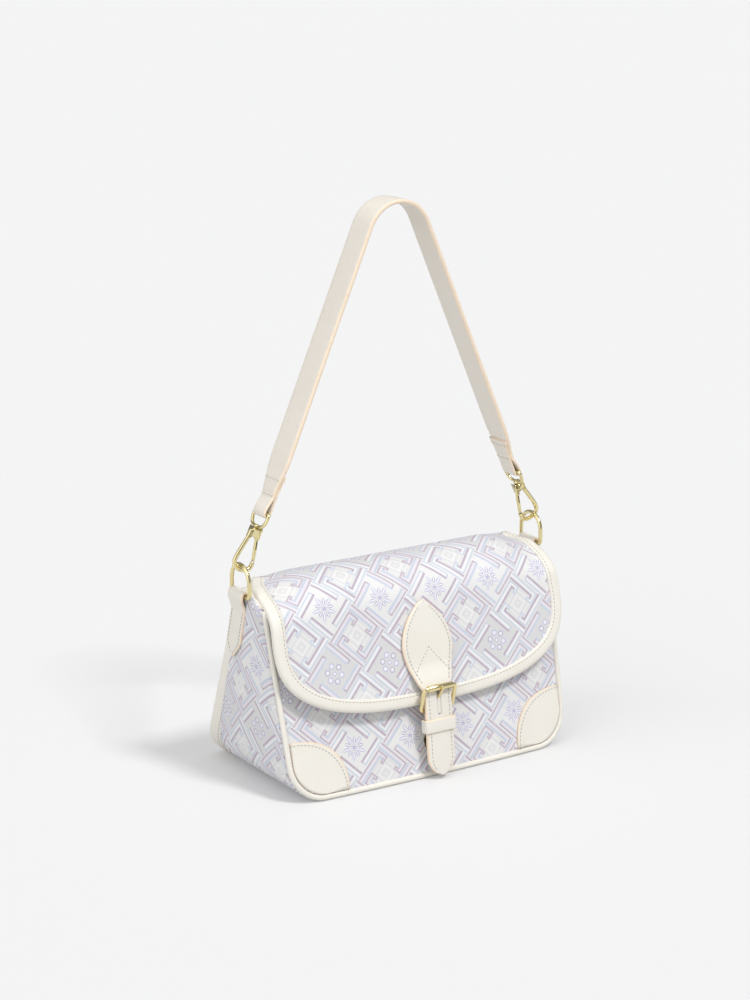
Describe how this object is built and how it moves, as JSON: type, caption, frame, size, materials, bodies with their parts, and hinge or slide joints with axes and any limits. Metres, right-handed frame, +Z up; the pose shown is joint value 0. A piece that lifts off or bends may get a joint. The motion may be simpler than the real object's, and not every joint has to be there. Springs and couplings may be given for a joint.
{
  "type": "flap shoulder bag",
  "caption": "Small flap-over bag with a brocade body, cream leather back and trim, a buckled closure strap and a shoulder handle on swivel hooks",
  "frame": {"origin": "middle of the width on the floor under the bag, near the middle of the base", "axes": "+X to the right seen from the front, +Y from the front to the back, +Z up"},
  "size_m": [0.2626, 0.137, 0.408],
  "materials": {
    "leather": "cream, fine grain, matt",
    "brocade": "satin key-fret brocade in silver, mauve and pale blue",
    "lining": "plain beige twill",
    "gilt_metal": "pale gold, polished",
    "board": "plain stiffening board"
  },
  "bodies": {
    "bag": {"front_panel": "brocade", "front_piping": "leather", "corner_patch_left": "leather", "corner_patch_right": "leather", "back_panel": "leather", "gusset_left": "brocade", "gusset_right": "brocade", "bottom_panel": "brocade", "base_board": "board", "lining": "lining", "mouth_facing": "leather", "flap_sewn_edge": "brocade", "snap_socket": "gilt_metal", "side_tab_left": "leather", "side_tab_right": "leather"},
    "flap": {"flap_panel": "brocade", "flap_lining": "lining", "flap_binding": "leather", "closure_strap": "leather", "strap_backing": "leather", "keeper_loop": "leather", "buckle_frame": "gilt_metal", "snap_stud": "gilt_metal"},
    "prong": {"buckle_prong": "gilt_metal"},
    "handle": {"handle_strap": "leather", "swivel_eye_left": "gilt_metal", "swivel_eye_right": "gilt_metal"},
    "ring_left": {"ring_left": "gilt_metal"},
    "ring_right": {"ring_right": "gilt_metal"},
    "hook_left": {"hook_left": "gilt_metal", "gate_pin_left": "gilt_metal"},
    "hook_right": {"hook_right": "gilt_metal", "gate_pin_right": "gilt_metal"},
    "gate_left": {"gate_left": "gilt_metal"},
    "gate_right": {"gate_right": "gilt_metal"}
  },
  "joints": [
    {"name": "flap_open", "type": "hinge", "parent": "bag", "child": "flap", "pos_m": [0, 0.00596, 0.14672], "axis": [-1, 0, 0], "range_deg": [0, 135]},
    {"name": "handle_swing", "type": "hinge", "parent": "bag", "child": "handle", "pos_m": [0, -0.00469, 0.15], "axis": [-1, 0, 0], "range_deg": [0, 102]},
    {"name": "buckle_prong_lift", "type": "hinge", "parent": "flap", "child": "prong", "pos_m": [0, -0.06363, 0.04976], "axis": [1, 0, 0], "range_deg": [0, 50]},
    {"name": "ring_left_tilt", "type": "hinge", "parent": "bag", "child": "ring_left", "pos_m": [-0.12433, -0.00469, 0.14], "axis": [0, 1, 0], "range_deg": [0, 6]},
    {"name": "hook_left_swivel", "type": "hinge", "parent": "handle", "child": "hook_left", "pos_m": [-0.11014, -0.00469, 0.18843], "axis": [0.4248, 0, 0.9053], "range_deg": [-20, 20]},
    {"name": "gate_left_press", "type": "hinge", "parent": "hook_left", "child": "gate_left", "pos_m": [-0.11037, -0.00469, 0.18157], "axis": [0, 1, 0], "range_deg": [0, 22], "stiffness_Nm_per_rad": 0.02, "springref_deg": -11.46},
    {"name": "ring_right_tilt", "type": "hinge", "parent": "bag", "child": "ring_right", "pos_m": [0.12433, -0.00469, 0.14], "axis": [0, -1, 0], "range_deg": [0, 6]},
    {"name": "hook_right_swivel", "type": "hinge", "parent": "handle", "child": "hook_right", "pos_m": [0.11014, -0.00469, 0.18843], "axis": [-0.4248, 0, 0.9053], "range_deg": [-20, 20]},
    {"name": "gate_right_press", "type": "hinge", "parent": "hook_right", "child": "gate_right", "pos_m": [0.11037, -0.00469, 0.18157], "axis": [0, -1, 0], "range_deg": [0, 22], "stiffness_Nm_per_rad": 0.02, "springref_deg": -11.46}
  ],
  "couplings": [
    {"joint": "handle_swing", "follows": "flap_open", "ratio": 0.75}
  ]
}
